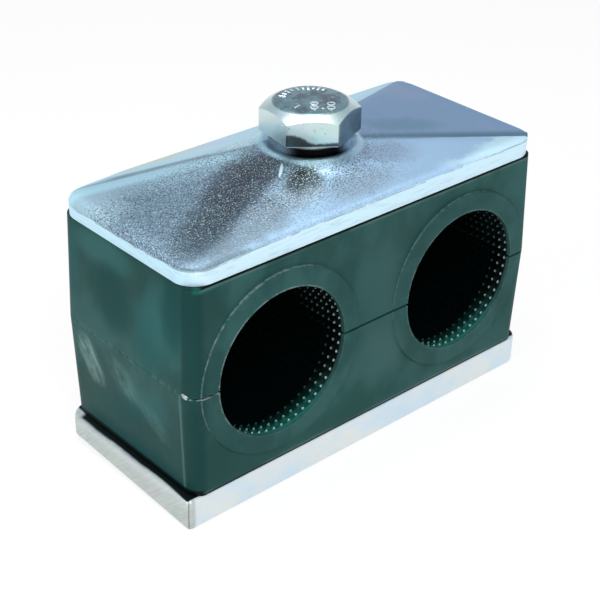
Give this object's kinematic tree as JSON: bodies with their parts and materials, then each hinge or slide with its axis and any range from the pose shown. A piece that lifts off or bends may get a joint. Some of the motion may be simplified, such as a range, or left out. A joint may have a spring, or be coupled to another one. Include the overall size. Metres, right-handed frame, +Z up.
{
  "type": "hydraulic tube clamp",
  "caption": "Twin tube clamp: two moulded halves with studded tube seats between a weld plate and a pressed cover plate, drawn together by a central hexagon bolt.",
  "frame": {"origin": "centre of the weld plate's underside", "axes": "+X along the clamp, from the left tube seat to the right one; Y along the tubes; +Z up along the bolt"},
  "size_m": [0.07, 0.031, 0.0516],
  "materials": {
    "green_plastic": "moulded dark green polypropylene, satin, lightly blotched",
    "cover_zinc": "pressed steel, fine-grained blue-passivated zinc plating",
    "plate_zinc": "sheared steel bar, pale blue-passivated zinc plating",
    "bolt_zinc": "cold-formed steel, bright blue-passivated zinc plating",
    "bush_zinc": "turned steel, zinc-plated"
  },
  "bodies": {
    "base": {"weld_plate": "plate_zinc", "threaded_bush": "bush_zinc", "lower_clamp_half": "green_plastic"},
    "cap": {"upper_clamp_half": "green_plastic", "cover_plate": "cover_zinc"},
    "bolt": {"hex_bolt": "bolt_zinc"}
  },
  "joints": [
    {"name": "cap_lift", "type": "slide", "parent": "base", "child": "cap", "axis": [0, 0, 1], "range_m": [0, 0.01]},
    {"name": "bolt_turn", "type": "hinge", "parent": "cap", "child": "bolt", "pos_m": [0, 0, 0.0463], "axis": [0, 0, 1], "range_deg": [0, 2880]}
  ],
  "couplings": [
    {"joint": "bolt_turn", "follows": "cap_lift", "rad_per_m": 5026.5}
  ]
}
